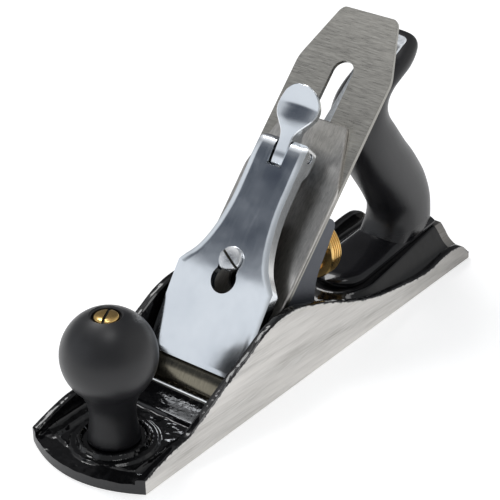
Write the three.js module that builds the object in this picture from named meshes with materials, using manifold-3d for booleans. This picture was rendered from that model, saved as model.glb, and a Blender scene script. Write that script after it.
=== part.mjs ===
// A bench smoothing plane with a 50 mm iron, bedded at 45 degrees on a sliding frog.
// Units are millimetres, +Z up, +X towards the toe, +Y towards the left cheek.
// The origin is at the middle of the sole's underside.
import * as THREE from 'three';
import { mergeVertices } from 'three/addons/utils/BufferGeometryUtils.js';
import Module from 'manifold-3d';

const wasm = await Module();
wasm.setup();

// ---- driving dimensions ----
const SOLE_LENGTH = 245;
const SOLE_WIDTH = 62;
const SOLE_THICK = 4;
const CHEEK_THICK = 3.5;
const TOE_CORNER_X = 112.8;
const HEEL_X = -SOLE_LENGTH / 2;
const GAP = 0.3;

const EDGE_X = 50.8;              // where the cutting edge meets the sole
const BED_TURN = Math.PI / 4;     // bed at 45 degrees
const MOUTH_FRONT_X = 53.2;
const MOUTH_HALF_WIDTH = 27.2;

const IRON_WIDTH = 50;
const IRON_THICK = 2;
const IRON_LENGTH = 187.3;
const IRON_SHOULDER = 159.4;
const IRON_TOP_HALF = 14.8;
const SLOT_HALF = 5.5;
const SLOT_START = 52;
const SLOT_END = 157.7;
const BEVEL_LENGTH = 4.3;

const CAP_IRON_LENGTH = 134.2;
const CAP_SCREW_AT = 112;         // cap iron screw, measured up the bed
const LEVER_SCREW_AT = 60.5;
const YOKE_AT = 80;
const YOKE_PIVOT_DEPTH = 12;      // yoke pin below the iron's top face
const SWAY_PIVOT_AT = 89;         // lateral lever's rivet
const SWAY_DISC_AT = 95;
const SWAY_ANGLE = 6.3 * Math.PI / 180;

const FROG_HALF = 23;
const FROG_FACE = -(IRON_THICK + GAP);
const FROG_TOP_AT = 94;
const FROG_BASE_Z = 12.3;
const FROG_FLOOR_Z = 18.8;
const FROG_SCREW_X = 14;
const FROG_SCREW_Y = 11;
const FROG_ADJUST_Z = 8.6;

const CAM_AT = 113;               // cam rivet, up the bed and above the iron
const CAM_HEIGHT = 13.2;

const WHEEL_Z = 34.5;
const WHEEL_RADIUS = 14.6;

const KNOB_X = 96.7;
const KNOB_SEAT_Z = 6;
const BALL_Z = 45.7;
const BALL_RADIUS = 20;

const TOTE_FOOT_X = -104;         // where the tote rod meets the casting
const TOTE_FOOT_Z = 12;
const TOTE_LEAN = 20 * Math.PI / 180;
const TOTE_NUT_AT = 88.6;         // along the rod

// ---- materials ----
const finish = (color, roughness, metalness) =>
  new THREE.MeshStandardMaterial({ color, roughness, metalness });
const LOOKS = {
  casting: finish(0x2a2a2c, 0.35, 0.3),
  plastic: finish(0x1b1b1d, 0.45, 0),
  frogPaint: finish(0x33373e, 0.5, 0.3),
  iron: finish(0x9d988e, 0.4, 1),
  chrome: finish(0xd5dbe2, 0.12, 1),
  steel: finish(0xb4b6b8, 0.35, 1),
  brass: finish(0xcf9a45, 0.3, 1),
};

// ---- shape helpers ----
const toSolid = (geometry) => {
  const bare = geometry.clone();
  bare.deleteAttribute('normal');
  bare.deleteAttribute('uv');
  const merged = mergeVertices(bare, 1e-4);
  return new wasm.Manifold(new wasm.Mesh({
    numProp: 3,
    vertProperties: new Float32Array(merged.attributes.position.array),
    triVerts: new Uint32Array(merged.index.array),
  }));
};

const toGeometry = (solid) => {
  const { vertProperties, triVerts } = solid.getMesh();
  const geometry = new THREE.BufferGeometry();
  geometry.setAttribute('position', new THREE.BufferAttribute(new Float32Array(vertProperties), 3));
  geometry.setIndex(new THREE.BufferAttribute(new Uint32Array(triVerts), 1));
  geometry.computeVertexNormals();
  return geometry;
};

const fold = (operation) => (first, ...rest) =>
  toGeometry(rest.reduce((solid, next) => solid[operation](toSolid(next)), toSolid(first)));
const join = fold('add');
const cut = fold('subtract');
const common = fold('intersect');

// An outline whose corners may be rounded: [x, y] is sharp, [x, y, r] is rounded by r.
// A rounding takes at most a little under half of each side beside it.
const outline = (corners) => {
  const shape = new THREE.Shape();
  corners.forEach(([x, y, r = 0], i) => {
    const corner = new THREE.Vector2(x, y);
    const towards = (j) => {
      const other = corners[(j + corners.length) % corners.length];
      const side = new THREE.Vector2(other[0] - x, other[1] - y);
      return side.setLength(Math.min(r, 0.48 * side.length()));
    };
    const before = corner.clone().add(r ? towards(i - 1) : new THREE.Vector2());
    const after = corner.clone().add(r ? towards(i + 1) : new THREE.Vector2());
    if (i === 0) {
      shape.moveTo(before.x, before.y);
    } else {
      shape.lineTo(before.x, before.y);
    }
    if (r) {
      shape.quadraticCurveTo(corner.x, corner.y, after.x, after.y);
    }
  });
  shape.closePath();
  return shape;
};

// Mirrors a half outline about the x axis, from its first point to its last.
const mirrored = (half) => {
  const others = half.map(([x, y, r]) => [x, -y, r]).reverse();
  return outline([...half, ...others]);
};

// A slot with round ends between two centres on the x axis.
const slotShape = (x0, x1, half) => {
  const shape = new THREE.Shape();
  shape.absarc(Math.max(x0, x1), 0, half, -Math.PI / 2, Math.PI / 2, false);
  shape.absarc(Math.min(x0, x1), 0, half, Math.PI / 2, 1.5 * Math.PI, false);
  shape.closePath();
  return shape;
};

const slab = (shape, bottom, top, curveSegments = 6) =>
  new THREE.ExtrudeGeometry(shape, { depth: top - bottom, bevelEnabled: false, curveSegments })
    .translate(0, 0, bottom);

// A side profile in x and z, carried across Y from -half to half.
const across = (shape, half, curveSegments = 6) =>
  new THREE.ExtrudeGeometry(shape, { depth: 2 * half, bevelEnabled: false, curveSegments })
    .rotateX(Math.PI / 2)
    .translate(0, half, 0);

// A cross-section in y and z, carried along X.
const along = (shape, x0, x1, curveSegments = 4) =>
  new THREE.ExtrudeGeometry(shape, { depth: x1 - x0, bevelEnabled: false, curveSegments })
    .rotateX(Math.PI / 2)
    .rotateZ(Math.PI / 2)
    .translate(x0, 0, 0);

const box = (x0, x1, y0, y1, z0, z1) =>
  new THREE.BoxGeometry(x1 - x0, y1 - y0, z1 - z0)
    .translate((x0 + x1) / 2, (y0 + y1) / 2, (z0 + z1) / 2);

const rodZ = (radius, z0, z1, x = 0, y = 0, sides = 20) =>
  new THREE.CylinderGeometry(radius, radius, z1 - z0, sides)
    .rotateX(Math.PI / 2)
    .translate(x, y, (z0 + z1) / 2);
const rodX = (radius, x0, x1, z = 0, sides = 20) =>
  rodZ(radius, x0, x1, 0, 0, sides)
    .rotateY(Math.PI / 2)
    .translate(0, 0, z);
const rodY = (radius, y0, y1, x, z, sides = 16) =>
  rodZ(radius, -y1, -y0, 0, 0, sides)
    .rotateX(Math.PI / 2)
    .translate(x, 0, z);

// A solid of revolution about Z from [radius, z] points.
const turned = (points, sides = 28) =>
  new THREE.LatheGeometry(points.map(([r, z]) => new THREE.Vector2(r, z)), sides)
    .rotateX(Math.PI / 2);
const closed = (points) => [...points, points[0]];

// The bed's own axes: x runs down the bed to the edge, z stands out of the iron's top face.
const bedMatrix = new THREE.Matrix4().makeRotationY(BED_TURN).setPosition(EDGE_X, 0, 0);
const onBed = (geometry) => geometry.applyMatrix4(bedMatrix);
const bedPoint = (upBed, above) => [
  EDGE_X + (above - upBed) * Math.SQRT1_2,
  (upBed + above) * Math.SQRT1_2,
];

// The tote rod's own axis.
const toteMatrix = new THREE.Matrix4().makeRotationY(TOTE_LEAN)
  .setPosition(TOTE_FOOT_X, 0, TOTE_FOOT_Z);
const onToteRod = (geometry) => geometry.applyMatrix4(toteMatrix);

// ---- scene ----
const plane = new THREE.Group();
const bed = new THREE.Group();
bed.position.set(EDGE_X, 0, 0);
bed.rotation.y = BED_TURN;
const toteAxis = new THREE.Group();
toteAxis.position.set(TOTE_FOOT_X, 0, TOTE_FOOT_Z);
toteAxis.rotation.y = TOTE_LEAN;
plane.add(bed, toteAxis);

const addPiece = (parent, name, geometry, material) => {
  const mesh = new THREE.Mesh(geometry, material);
  mesh.name = name;
  parent.add(mesh);
  return mesh;
};

// A slotted round head with its shank below, both about Z.
const slottedScrew = (headRadius, headBottom, headTop, shankRadius, shankBottom, sides = 20) => cut(
  join(
    rodZ(headRadius, headBottom, headTop, 0, 0, sides),
    rodZ(shankRadius, shankBottom, headBottom + 0.1, 0, 0, sides),
  ),
  box(-headRadius - 1, headRadius + 1, -0.7, 0.7, headTop - 1.2, headTop + 1),
);

// ---- body casting: sole, cheeks, heel land, knob boss, frog seat and tote boss ----
const CHEEK_CROWN = [
  [TOE_CORNER_X, 6.9], [102, 10], [93, 11.9], [85.8, 12.6], [75.6, 17.2], [63.2, 23.3],
  [46.5, 30.6], [34.4, 36.3], [23.6, 38.5], [16.4, 38.5], [-1.4, 33], [-21.6, 24.4],
  [-34.7, 18.9], [-48.2, 14.8], [-61.9, 12.2], [-88.4, 8.9], [-102.9, 10.8], [-110, 10.8],
  [-117, 8.6], [HEEL_X, 3.2],
];
const TOTE_BOSS_FRONT = -45;
const TOTE_BOSS_LOW = 8;
const TOTE_BOSS_HIGH = 14.6;
const FLANK = [[-24.5, 3.4], [-21.4, 5.8], [-18.8, 8.2], [-17, 10.9]];

const solePlan = (inset, rearX) => {
  const half = SOLE_WIDTH / 2 - inset;
  const front = SOLE_LENGTH / 2 - inset;
  const corner = TOE_CORNER_X - inset;
  const shape = new THREE.Shape();
  shape.moveTo(rearX, -half);
  shape.lineTo(corner, -half);
  shape.quadraticCurveTo(2 * front - corner, 0, corner, half);
  shape.lineTo(rearX, half);
  shape.closePath();
  return shape;
};

const castingSides = () => {
  const side = new THREE.Shape();
  side.moveTo(HEEL_X, 0);
  side.lineTo(SOLE_LENGTH / 2, 0);
  side.lineTo(SOLE_LENGTH / 2, SOLE_THICK);
  side.lineTo(TOE_CORNER_X, SOLE_THICK);
  side.lineTo(...CHEEK_CROWN[0]);
  side.splineThru(CHEEK_CROWN.slice(1).map(([x, z]) => new THREE.Vector2(x, z)));
  side.closePath();
  const inner = SOLE_WIDTH / 2 - CHEEK_THICK;
  return cut(
    common(across(side, SOLE_WIDTH / 2, 2), slab(solePlan(0, HEEL_X), -1, 60, 14)),
    box(HEEL_X - 1, SOLE_LENGTH, -inner, inner, SOLE_THICK, 60),
  );
};

const mirroredSection = (left) => outline([...left, ...left.map(([y, z]) => [-y, z]).reverse()]);

const toteBoss = () => {
  const wedge = outline([
    [HEEL_X, 0], [TOTE_BOSS_FRONT, 0], [TOTE_BOSS_FRONT, TOTE_BOSS_LOW], [HEEL_X, TOTE_BOSS_HIGH],
  ]);
  const plan = mirrored([[HEEL_X, 26], [TOTE_BOSS_FRONT, 22, 18]]);
  return common(
    along(mirroredSection([...FLANK, [-14, TOTE_BOSS_HIGH]]), HEEL_X, TOTE_BOSS_FRONT),
    across(wedge, 30),
    slab(plan, 0, 20),
  );
};

const heelLand = () => along(
  mirroredSection([[-27.6, 3], [-27.6, 5.1], [-24, 4.7], ...FLANK.slice(1), [-14.6, 13.9]]),
  HEEL_X, HEEL_X + 5.5,
);

const toeRidge = () => cut(
  slab(solePlan(8.5, 72), 3, 5.2, 14),
  slab(solePlan(10.5, 60), 2, 6, 14),
);

const frogSeat = () => join(
  box(-2, 27, -20, 20, 3, FROG_BASE_Z - GAP),
  box(20, 44, -20, 20, 3, 5),
);

const mouthOpening = () => across(outline([
  [47.3, -1], [MOUTH_FRONT_X, -1], [MOUTH_FRONT_X, 1.2], [56.5, 8], [38.3, 8],
]), MOUTH_HALF_WIDTH);

const bodyCasting = () => {
  const raised = join(
    castingSides(),
    toteBoss(),
    heelLand(),
    toeRidge(),
    box(69, 71.5, -27.6, 27.6, 3, 5.4),
    rodZ(18.5, 3, 5, KNOB_X, 0, 36),
    rodZ(15, 3, 7, KNOB_X, 0, 36),
    frogSeat(),
  );
  return cut(
    raised,
    rodZ(13, KNOB_SEAT_Z - GAP, 8, KNOB_X, 0, 36),
    rodZ(3.2, 1.3, 8, KNOB_X),
    mouthOpening(),
    ...[-1, 1].map((side) => rodZ(2.8, 4.5, 20, FROG_SCREW_X, side * FROG_SCREW_Y)),
    rodX(2.9, -3, 15.2, FROG_ADJUST_Z),
    onToteRod(rodZ(3.2, -5.5, 8)),
  );
};
addPiece(plane, 'body_casting', bodyCasting(), LOOKS.casting);

// ---- front knob, with its stud and nut ----
const knobProfile = () => {
  const rimZ = BALL_Z + Math.sqrt(BALL_RADIUS ** 2 - 7.2 ** 2);
  const ball = [];
  const lowest = Math.asin((BALL_Z - 30) / BALL_RADIUS);
  const highest = Math.asin((rimZ - BALL_Z) / BALL_RADIUS);
  for (let i = 0; i <= 12; i++) {
    const angle = -lowest + (highest + lowest) * i / 12;
    ball.push([BALL_RADIUS * Math.cos(angle), BALL_Z + BALL_RADIUS * Math.sin(angle)]);
  }
  return [
    [3.3, KNOB_SEAT_Z], [11.4, KNOB_SEAT_Z], [11.3, 8], [10.2, 12], [9.7, 18], [10.2, 24], ...ball,
    [6.1, rimZ - 0.6], [6.1, 62], [4.4, 62], [4.4, 48], [3.3, 48],
  ];
};
const knob = addPiece(plane, 'front_knob', turned(closed(knobProfile()), 32), LOOKS.plastic);
const knobStud = addPiece(plane, 'knob_stud', rodZ(2.9, 1.6, 58), LOOKS.steel);
const roundNut = (headBottom, headTop, barrelBottom, boreTop) => cut(
  slottedScrew(5.3, headBottom, headTop, 4, barrelBottom, 24),
  rodZ(3.2, barrelBottom - 1, boreTop),
);
const knobNut = addPiece(plane, 'knob_nut', roundNut(62.3, 64.6, 50, 60), LOOKS.brass);
for (const piece of [knob, knobStud, knobNut]) {
  piece.position.x = KNOB_X;
}

// ---- tote, with its rod and nut ----
const TOTE_HALF = 13.6;
const TOTE_FOOT_FRONT = -48.5;
const TOTE_GRIP = [
  [-74, 14.2], [-84, 15.2], [-90, 18.8], [-92.4, 25.5], [-89, 33], [-83.5, 41], [-76, 51.5],
  [-68, 64.5], [-62, 76], [-59, 86], [-60.5, 93], [-65.5, 98], [-73, 101.2], [-83, 106],
  [-92.5, 112], [-99, 116.2], [-104, 117], [-107.8, 114.2], [-108.4, 109.6], [-105.7, 104.7],
  [-98, 99.4], [-90.6, 94], [-87.7, 88], [-89.5, 81], [-97.9, 70], [-107.8, 58], [-116.6, 46],
  [-121.6, 34], [-122.2, 22], [-121.4, 12],
];

const toteGrip = () => {
  const roundness = 6;
  const shape = new THREE.Shape();
  shape.moveTo(...TOTE_GRIP[0]);
  shape.splineThru(TOTE_GRIP.slice(1).map(([x, z]) => new THREE.Vector2(x, z)));
  shape.lineTo(-120.5, 2);
  shape.lineTo(-74, 2);
  shape.closePath();
  return new THREE.ExtrudeGeometry(shape, {
    depth: 2 * (TOTE_HALF - roundness),
    bevelThickness: roundness,
    bevelSize: 4.5,
    bevelOffset: -4.5,
    bevelSegments: 3,
    curveSegments: 2,
  }).rotateX(Math.PI / 2).translate(0, TOTE_HALF - roundness, 0);
};

const toteFoot = () => {
  const top = outline([
    [TOTE_FOOT_FRONT, 5], [TOTE_FOOT_FRONT, 12.4, 3], [-62, 13.7], [-84, 15], [-112, 18], [-112, 5],
  ]);
  const plan = mirrored([[-112, 13.4], [TOTE_FOOT_FRONT, 13.4, 12]]);
  return common(across(top, 20), slab(plan, 0, 40));
};

const tote = () => {
  const slope = (TOTE_BOSS_HIGH - TOTE_BOSS_LOW) / (TOTE_BOSS_FRONT - HEEL_X);
  const seat = (x) => TOTE_BOSS_LOW + GAP + (TOTE_BOSS_FRONT - x) * slope;
  const below = outline([[-140, -5], [-30, -5], [-30, seat(-30)], [-140, seat(-140)]]);
  return cut(
    join(toteGrip(), toteFoot()),
    across(below, 30),
    onToteRod(rodZ(3.4, -12, 80)),
    onToteRod(rodZ(4.4, 76, 92)),
    onToteRod(rodZ(6.1, TOTE_NUT_AT - GAP, 112, 0, 0, 24)),
  );
};
addPiece(plane, 'tote', tote(), LOOKS.plastic);
addPiece(toteAxis, 'tote_rod', rodZ(2.9, -4.5, 86.5), LOOKS.steel);
addPiece(toteAxis, 'tote_nut', roundNut(TOTE_NUT_AT, TOTE_NUT_AT + 2.6, 78, 87.3), LOOKS.brass);

// ---- frog ----
const frogSide = () => outline([
  [EDGE_X + FROG_FACE * Math.SQRT2 - 5.3, 5.3],
  bedPoint(FROG_TOP_AT, FROG_FACE),
  [-22.5, 62.4, 2], [-24.8, 58.4, 2], [-11.3, 39.3, 4], [-9.3, 32, 4], [-9.3, FROG_BASE_Z],
  [28.4, FROG_BASE_Z], [28.4, 5.3],
]);

const frogHollow = () => {
  const plateBack = EDGE_X + (FROG_FACE - 6) * Math.SQRT2;
  return across(outline([
    [plateBack - FROG_FLOOR_Z, FROG_FLOOR_Z], [plateBack - 56, 56], [-40, 56], [-40, FROG_FLOOR_Z],
  ]), FROG_HALF - 4.5);
};

const yokeLug = (side) => onBed(box(
  -YOKE_AT - 4.5, -YOKE_AT + 4.5, Math.min(3 * side, 7 * side), Math.max(3 * side, 7 * side),
  -15.5, -7.5,
));

const frogScrewPocket = (side) => box(
  7, 21, side * FROG_SCREW_Y - 5.5, side * FROG_SCREW_Y + 5.5, FROG_FLOOR_Z, 60,
);
const frogScrewSlot = (side) => slab(slotShape(FROG_SCREW_X - 1.4, FROG_SCREW_X + 1.4, 2.8), 10, 20)
  .translate(0, side * FROG_SCREW_Y, 0);

const frog = () => {
  const body = join(
    cut(across(frogSide(), FROG_HALF), frogHollow()),
    rodX(6.5, -9.3, 6, WHEEL_Z, 24),
    yokeLug(-1),
    yokeLug(1),
  );
  return cut(
    body,
    frogScrewPocket(-1),
    frogScrewPocket(1),
    frogScrewSlot(-1),
    frogScrewSlot(1),
    rodX(3.3, -10, -2.5, WHEEL_Z),
    rodX(1.7, -10, -3.4, 15.9, 12),
    onBed(box(-YOKE_AT - 4.8, -YOKE_AT + 4.8, -2.9, 2.9, -9, 1)),
    onBed(rodY(1.9, -8, 8, -YOKE_AT, -YOKE_PIVOT_DEPTH)),
    onBed(box(-96, -SWAY_PIVOT_AT + 5.2, -8.5, 8.5, FROG_FACE - 2, 1)),
    onBed(rodZ(2, -9, 1, -SWAY_PIVOT_AT)),
    onBed(rodZ(3.3, -9.5, 1, -LEVER_SCREW_AT)),
  );
};
addPiece(plane, 'frog', frog(), LOOKS.frogPaint);

const WASHER_BOTTOM = FROG_FLOOR_Z + GAP;
for (const [name, side] of [['left', 1], ['right', -1]]) {
  const washer = turned(closed([
    [2.9, WASHER_BOTTOM], [5.1, WASHER_BOTTOM], [5.1, WASHER_BOTTOM + 1], [2.9, WASHER_BOTTOM + 1],
  ]), 20);
  const screw = slottedScrew(4.4, WASHER_BOTTOM + 1.3, WASHER_BOTTOM + 4.3, 2.5, 5);
  addPiece(plane, `frog_washer_${name}`, washer, LOOKS.steel);
  addPiece(plane, `frog_screw_${name}`, screw, LOOKS.steel);
  for (const piece of plane.children.slice(-2)) {
    piece.position.set(FROG_SCREW_X, side * FROG_SCREW_Y, 0);
  }
}

// ---- frog adjusting screw and the clip that holds its neck ----
const FROG_BACK_X = -9.3;
const CLIP_THICK = 1.6;
const frogClip = () => {
  const fromX = FROG_BACK_X - GAP - CLIP_THICK;
  const plate = along(mirroredSection([[-6, 4.8], [-6, 19]]), fromX, fromX + CLIP_THICK);
  const neck = join(rodX(2.15, -20, 0, FROG_ADJUST_Z), box(-20, 0, -2.15, 2.15, 0, FROG_ADJUST_Z));
  return cut(plate, neck, rodX(1.7, -20, 0, 15.9, 12));
};
addPiece(plane, 'frog_clip', frogClip(), LOOKS.steel);

const frogAdjustScrew = () => {
  const body = turned([
    [0, -15.6], [4, -15.6], [4, -11.5], [1.8, -11.5], [1.8, -9.2], [3.3, -9.2], [3.3, -7.4],
    [2.6, -7.4], [2.6, 13], [0, 13],
  ], 20).rotateY(Math.PI / 2);
  return cut(body, box(-17, -14.3, -0.6, 0.6, -5, 5)).translate(0, 0, FROG_ADJUST_Z);
};
addPiece(plane, 'frog_adjust_screw', frogAdjustScrew(), LOOKS.steel);

const clipScrew = slottedScrew(2.6, 0, 1.5, 1.4, -7.5, 14)
  .rotateY(-Math.PI / 2)
  .translate(FROG_BACK_X - 2 * GAP - CLIP_THICK, 0, 15.9);
addPiece(plane, 'frog_clip_screw', clipScrew, LOOKS.steel);

// ---- depth wheel on its stud ----
addPiece(plane, 'depth_stud', rodX(3, -46, -2.8, WHEEL_Z), LOOKS.steel);
const depthWheel = () => turned(closed([
  [3.3, 23], [6, 23], [6, 24.9], [4.4, 24.9], [4.4, 36.6], [9.8, 36.6], [10.8, 34.2],
  [14.1, 34.2], [WHEEL_RADIUS, 34.8], [WHEEL_RADIUS, 40.7], [14.1, 41.3], [10.5, 41.3],
  [9.5, 39.4], [3.3, 39.4],
]), 36).rotateY(-Math.PI / 2).translate(0, 0, WHEEL_Z);
addPiece(plane, 'depth_wheel', depthWheel(), LOOKS.brass);

// ---- yoke between the wheel and the cap iron ----
const yoke = () => {
  const plate = across(outline([
    [-YOKE_AT - 1.9, 1.9, 1], [-YOKE_AT + 1.9, 1.9, 1], [-YOKE_AT + 2.2, -7],
    [-YOKE_AT + 4, -9.5, 2], [-YOKE_AT + 4, -14.5, 2], [-YOKE_AT + 2, -18],
    [-YOKE_AT - 2, -18], [-YOKE_AT - 4, -14.5, 2], [-YOKE_AT - 4, -9.5, 2], [-YOKE_AT - 2.2, -7],
  ]), 2.3);
  const bridge = box(-YOKE_AT - 2, -YOKE_AT + 2, -9.5, 9.5, -20.7, -17.2);
  const arm = (side) => join(
    box(-YOKE_AT - 2, -YOKE_AT + 2, Math.min(6.7 * side, 9.5 * side),
      Math.max(6.7 * side, 9.5 * side), -32.4, -18),
    rodY(1.9, Math.min(4.9 * side, 9.5 * side), Math.max(4.9 * side, 9.5 * side),
      -YOKE_AT - 0.6, -31.8),
  );
  return cut(join(plate, bridge, arm(-1), arm(1)), rodY(1.9, -8, 8, -YOKE_AT, -YOKE_PIVOT_DEPTH));
};
addPiece(bed, 'y_lever', yoke(), LOOKS.steel);
addPiece(bed, 'y_lever_pin', rodY(1.6, -7.4, 7.4, -YOKE_AT, -YOKE_PIVOT_DEPTH), LOOKS.steel);

// ---- lateral lever, its rivet and its roller ----
const swayLever = () => {
  const strip = across(outline([
    [5.2, -2.6], [-10.4, -2.6], [-14, -8], [-86, -8, 4], [-93, -9.6, 4], [-97, -13.6],
    [-95.8, -14.5], [-92.2, -11, 4], [-85.7, -9.3, 4], [-13.3, -9.3], [-9.7, -3.9], [5.2, -3.9],
  ]), 12, 4);
  const plan = slab(mirrored([
    [5.2, 4.6, 4], [-12, 5.4, 3], [-24, 8, 6], [-70, 6.8, 6], [-82, 8.2, 5], [-98, 8.2, 7.5],
  ]), -20, 5);
  return cut(
    join(common(strip, plan), rodZ(1.2, -3.5, -0.6, SWAY_PIVOT_AT - SWAY_DISC_AT)),
    rodZ(2, -9, 1),
  );
};
const lateral = new THREE.Group();
lateral.position.set(-SWAY_PIVOT_AT, 0, 0);
lateral.rotation.z = -SWAY_ANGLE;
bed.add(lateral);
addPiece(lateral, 'lateral_lever', swayLever(), LOOKS.steel);
const roller = turned(closed([[1.5, -2.3], [4.4, -2.3], [4.4, -0.5], [1.5, -0.5]]), 24);
addPiece(lateral, 'lateral_roller', roller, LOOKS.steel).position.x = SWAY_PIVOT_AT - SWAY_DISC_AT;
addPiece(bed, 'lateral_rivet', rodZ(1.7, -8.6, -2.7, -SWAY_PIVOT_AT), LOOKS.steel);

// ---- iron ----
const iron = () => {
  const side = outline([
    [0, 0], [-IRON_LENGTH, 0], [-IRON_LENGTH, -IRON_THICK], [-BEVEL_LENGTH, -IRON_THICK],
  ]);
  const plan = mirrored([
    [0, IRON_WIDTH / 2], [-IRON_SHOULDER, IRON_WIDTH / 2, 3], [-IRON_LENGTH, IRON_TOP_HALF, 3],
  ]);
  return cut(
    common(across(side, IRON_WIDTH), slab(plan, -5, 5)),
    slab(slotShape(-SLOT_START, -SLOT_END, SLOT_HALF), -5, 5),
    rodZ(8.5, -5, 5, -SLOT_START),
  );
};
addPiece(bed, 'iron', iron(), LOOKS.iron);

// ---- cap iron, humped near its front edge, and its screw ----
const capIron = () => {
  const points = (list) => list.map(([x, z]) => new THREE.Vector2(x, z));
  const side = new THREE.Shape();
  side.moveTo(-1, 0.35);
  side.lineTo(-1, 1);
  side.splineThru(points([[-3, 2.7], [-6.5, 4.2], [-11, 4.6], [-16, 4], [-22, 2.8], [-29, 2.3]]));
  side.lineTo(-CAP_IRON_LENGTH, 2.3);
  side.lineTo(-CAP_IRON_LENGTH, GAP);
  side.lineTo(-29, GAP);
  side.splineThru(points([[-22, 0.8], [-16, 2], [-11, 2.6], [-6.5, 2.1], [-3, 1], [-1, 0.35]]));
  const plan = mirrored([
    [-1, IRON_WIDTH / 2], [-106, IRON_WIDTH / 2, 4], [-CAP_IRON_LENGTH, 16, 3],
  ]);
  return cut(
    common(across(side, IRON_WIDTH, 2), slab(plan, -5, 9)),
    slab(slotShape(-57, -65, 7), -5, 9),
    box(-YOKE_AT - 2.6, -YOKE_AT + 2.6, -3.3, 3.3, -5, 9),
    rodZ(3.7, -5, 9, -CAP_SCREW_AT),
  );
};
addPiece(bed, 'cap_iron', capIron(), LOOKS.iron);

const capScrew = slottedScrew(7.2, 2.3, 5.3, 3.4, -2.1, 24).rotateX(Math.PI);
addPiece(bed, 'cap_iron_screw', capScrew, LOOKS.steel).position.x = -CAP_SCREW_AT;

// ---- lever cap, the screw that holds it and its spring ----
const leverScrew = slottedScrew(5.6, 15.3, 17.6, 3, -7.8, 24);
addPiece(bed, 'lever_cap_screw', leverScrew, LOOKS.steel).position.x = -LEVER_SCREW_AT;

const leverCapPlan = (inset, frontX, topX) => {
  const half = new THREE.Path();
  half.moveTo(frontX, 24.9 - inset);
  half.lineTo(-53, 25.2 - inset);
  half.splineThru([[-55.2, 24], [-59, 20.2], [-65, 17], [-74, 14.4], [-86, 12.8]]
    .map(([x, y]) => new THREE.Vector2(x, y - inset)));
  half.lineTo(topX, 12.8 - inset);
  return mirrored(half.getPoints(2).map(({ x, y }) => [x, y]));
};

const leverCap = () => {
  const side = outline([
    [-13.5, 7.4], [-15.8, 8.8], [-51, 14.4, 12], [-117.5, 18, 1], [-117.5, 9, 2], [-106.5, 9],
    [-103, 11.3], [-56, 9.4], [-48, 8], [-20, 5.4], [-13.5, 5],
  ]);
  const hollow = outline([[-24, 3], [-24, 7], [-51, 11], [-102, 13.6], [-102, 3]]);
  const frontCorners = mirrored([[-60, 26], [-13.5, 25, 12]]);
  const shell = cut(
    common(
      across(side, 30, 3), slab(leverCapPlan(0, -10, -118), 0, 30),
      join(slab(frontCorners, 0, 30), box(-130, -50, -30, 30, 0, 30)),
    ),
    common(across(hollow, 30, 3), slab(leverCapPlan(3, -10, -118), 0, 30)),
  );
  return cut(
    join(shell, rodZ(3, 11.7, 15.5, -90, 0, 16)),
    rodZ(1.4, 11, 14, -90, 0, 12),
    box(-120, -104.5, -3.75, 3.75, 0, 30),
    rodZ(6.3, 0, 30, -51.5, 0, 28),
    slab(slotShape(-51.5, -61, 3.5), 0, 30),
    rodY(2.2, -20, 20, -CAM_AT, CAM_HEIGHT),
  );
};
addPiece(bed, 'lever_cap', leverCap(), LOOKS.chrome);

const capSpring = () => cut(
  across(outline([
    [-86, 11.4], [-94, 11.4, 2], [-105, 6, 2], [-110, 4.5, 2], [-117, 4.5],
    [-117, 3.7], [-109.8, 3.7, 2], [-104.6, 5.2, 2], [-93.8, 10.6, 2], [-86, 10.6],
  ]), 7, 3),
  rodZ(1.6, 0, 20, -90, 0, 12),
);
addPiece(bed, 'lever_cap_spring', capSpring(), LOOKS.steel);
const springRivet = join(rodZ(2.6, 9.3, 10.3, -90, 0, 14), rodZ(1.1, 10, 13.6, -90, 0, 14));
addPiece(bed, 'spring_rivet', springRivet, LOOKS.steel);

// ---- cam lever on its rivet ----
const camLever = () => {
  const side = outline([
    [-105.7, 17, 1.5], [-105.7, 10.5, 2], [-109.5, 5.8, 1.5], [-113.5, 5, 1], [-117.5, 6.8, 2],
    [-120.4, 11.5, 2], [-124, 15.6, 3], [-134, 17.2, 5], [-141, 19.4, 3], [-145, 23.4],
    [-144, 24.6], [-139, 21.9, 4], [-131, 19.9, 5], [-120, 18.9, 4],
  ]);
  const plan = mirrored([
    [-104, 3.15], [-119.5, 3.15], [-124, 6.5, 2], [-131, 10.6, 4], [-139.5, 10.4, 4],
    [-145.5, 5.5, 3],
  ]);
  return cut(
    common(across(side, 15, 3), slab(plan, 0, 30)),
    rodY(2.2, -6, 6, -CAM_AT, CAM_HEIGHT),
  );
};
addPiece(bed, 'cam_lever', camLever(), LOOKS.chrome);
addPiece(bed, 'cam_rivet', rodY(1.9, -12.2, 12.2, -CAM_AT, CAM_HEIGHT), LOOKS.steel);

export default plane;
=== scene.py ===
import math

import bmesh
import bpy
import numpy as np
from mathutils import Matrix, Vector, noise


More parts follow.
